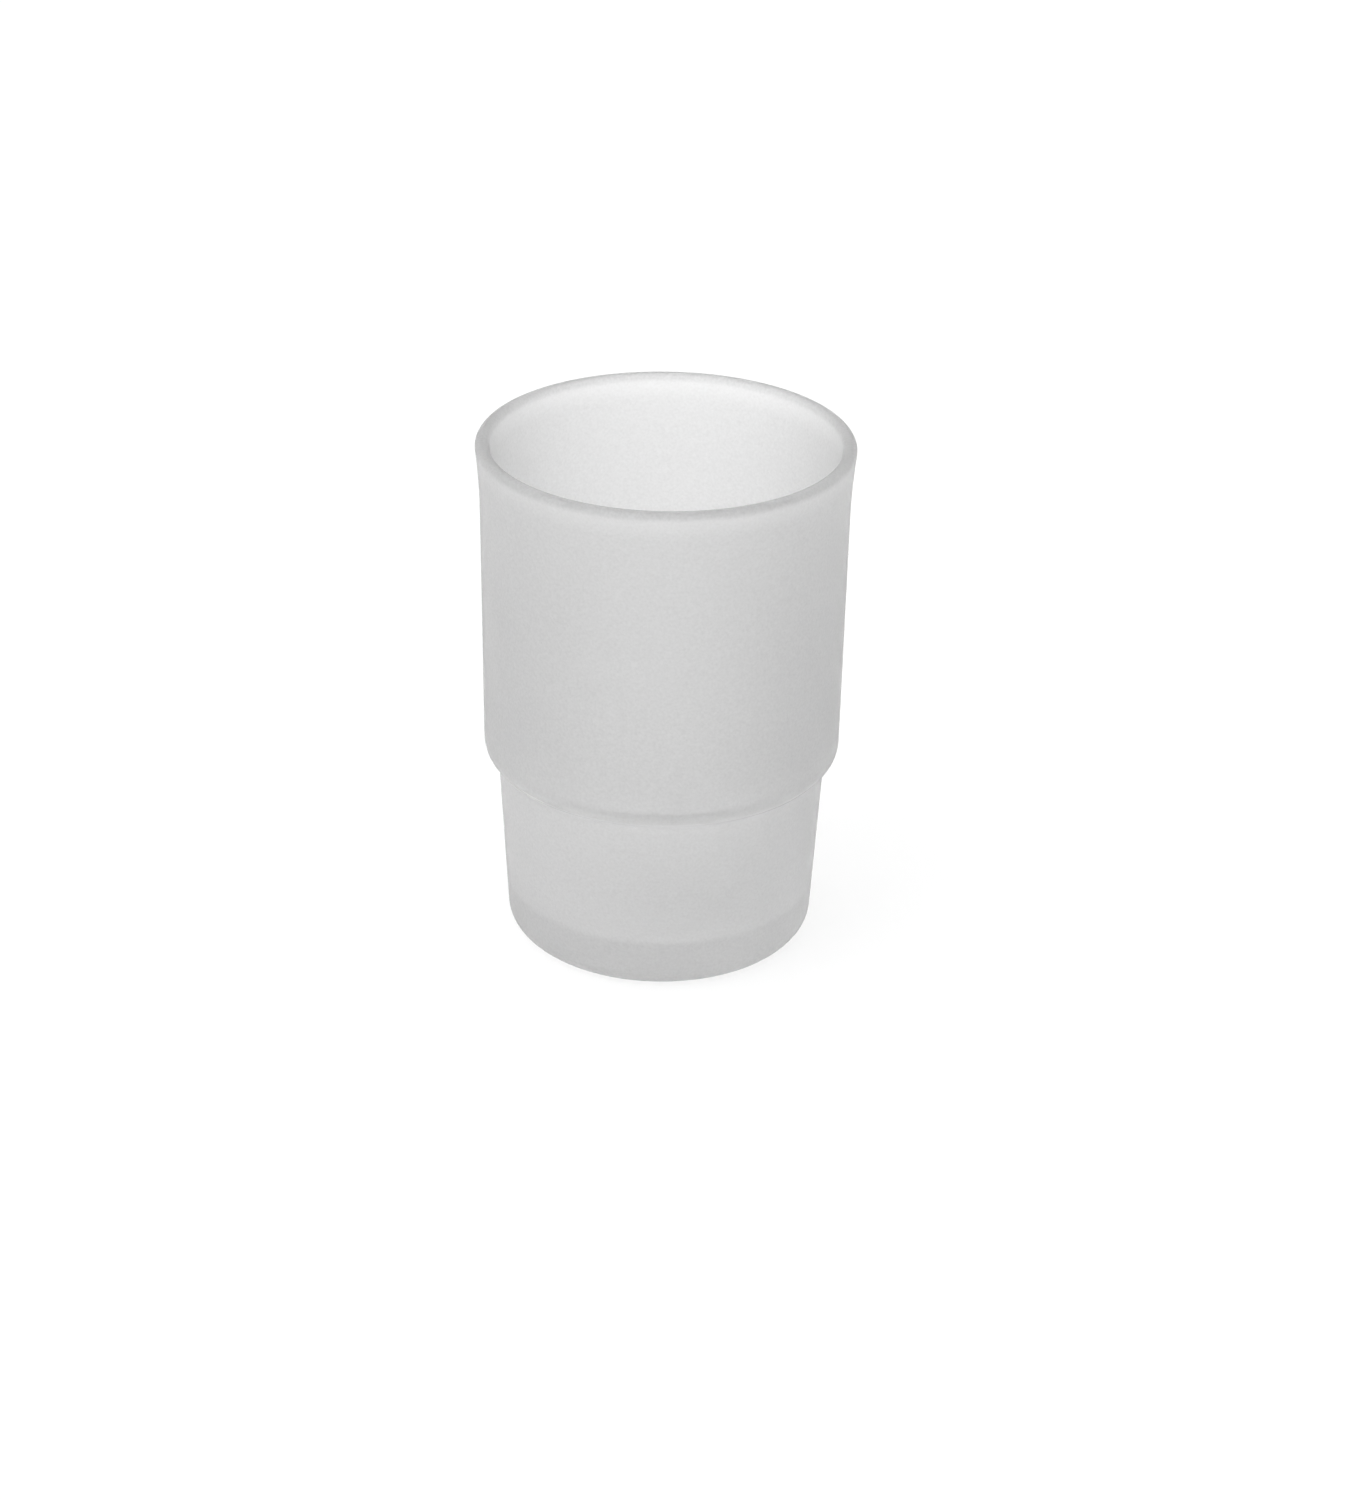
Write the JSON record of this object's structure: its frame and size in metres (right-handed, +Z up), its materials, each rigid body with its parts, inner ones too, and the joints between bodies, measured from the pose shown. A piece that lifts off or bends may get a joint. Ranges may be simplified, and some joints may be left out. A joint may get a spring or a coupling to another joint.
{
  "type": "bathroom tumbler",
  "caption": "Round satin-etched glass tumbler with a flared, rounded lip and a stepped wall, whose shoulder seats in a wall-mounted holder ring; it also stands on its base.",
  "frame": {"origin": "middle of the base, in the plane of the ring that the glass stands on", "axes": "+Z up along the axis of the glass; X and Y are alike, because the glass is round"},
  "size_m": [0.068, 0.068, 0.097],
  "materials": {
    "satin_glass": "satin"
  },
  "bodies": {
    "root": {"tumbler": "satin_glass"}
  },
  "joints": []
}
